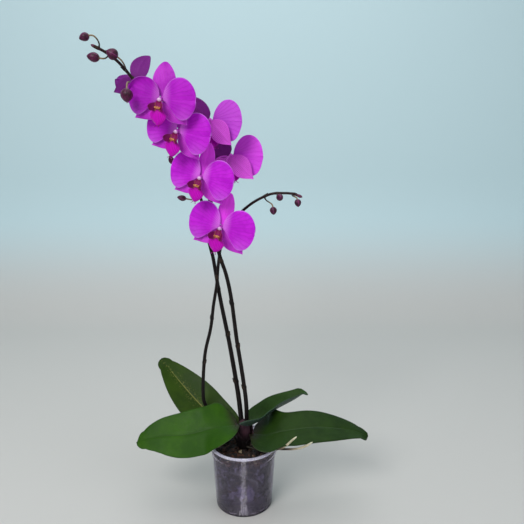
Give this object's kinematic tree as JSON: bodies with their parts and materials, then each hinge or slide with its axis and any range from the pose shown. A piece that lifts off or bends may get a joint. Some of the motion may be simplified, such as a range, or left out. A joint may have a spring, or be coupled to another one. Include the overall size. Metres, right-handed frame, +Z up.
{
  "type": "potted orchid",
  "caption": "Moth orchid with arching flower spikes, open blooms, buds and strap leaves, growing in bark in a clear round nursery pot.",
  "frame": {"origin": "centre of the pot's flat base, on the surface it stands on", "axes": "+Z up along the pot's axis, -Y towards the flowers' faces, +X to the viewer's right"},
  "size_m": [0.4438, 0.1892, 0.7809],
  "materials": {
    "pot_plastic": "clear, faintly violet, glossy",
    "bark": "rough, damp",
    "sheath": "satin",
    "leaf": "waxy satin",
    "spike": "satin",
    "root": "matte",
    "bud": "satin",
    "petal": "soft satin",
    "sepal": "soft satin",
    "lip": "soft satin",
    "column": "soft satin"
  },
  "bodies": {
    "root": {"aerial_root_1": "root", "aerial_root_2": "root", "bud_1": "bud", "bud_2": "bud", "bud_3": "bud", "bud_4": "bud", "bud_5": "bud", "bud_6": "bud", "bud_7": "bud", "bud_8": "bud", "bud_9": "bud", "flower_1_column": "column", "flower_1_lip": "lip", "flower_1_petal_left": "petal", "flower_1_petal_right": "petal", "flower_1_sepals": "sepal", "flower_2_column": "column", "flower_2_lip": "lip", "flower_2_petal_left": "petal", "flower_2_petal_right": "petal", "flower_2_sepals": "sepal", "flower_3_column": "column", "flower_3_lip": "lip", "flower_3_petal_left": "petal", "flower_3_petal_right": "petal", "flower_3_sepals": "sepal", "flower_4_column": "column", "flower_4_lip": "lip", "flower_4_petal_left": "petal", "flower_4_petal_right": "petal", "flower_4_sepals": "sepal", "flower_5_column": "column", "flower_5_lip": "lip", "flower_5_petal_left": "petal", "flower_5_petal_right": "petal", "flower_5_sepals": "sepal", "flower_6_column": "column", "flower_6_lip": "lip", "flower_6_petal_left": "petal", "flower_6_petal_right": "petal", "flower_6_sepals": "sepal", "flower_7_column": "column", "flower_7_lip": "lip", "flower_7_petal_left": "petal", "flower_7_petal_right": "petal", "flower_7_sepals": "sepal", "leaf_left_back": "leaf", "leaf_left_front": "leaf", "leaf_right_back": "leaf", "leaf_right_front": "leaf", "plant_crown": "sheath", "pot": "pot_plastic", "potting_bark": "bark", "spike_left": "spike", "spike_main": "spike", "spike_right": "spike"}
  },
  "joints": []
}
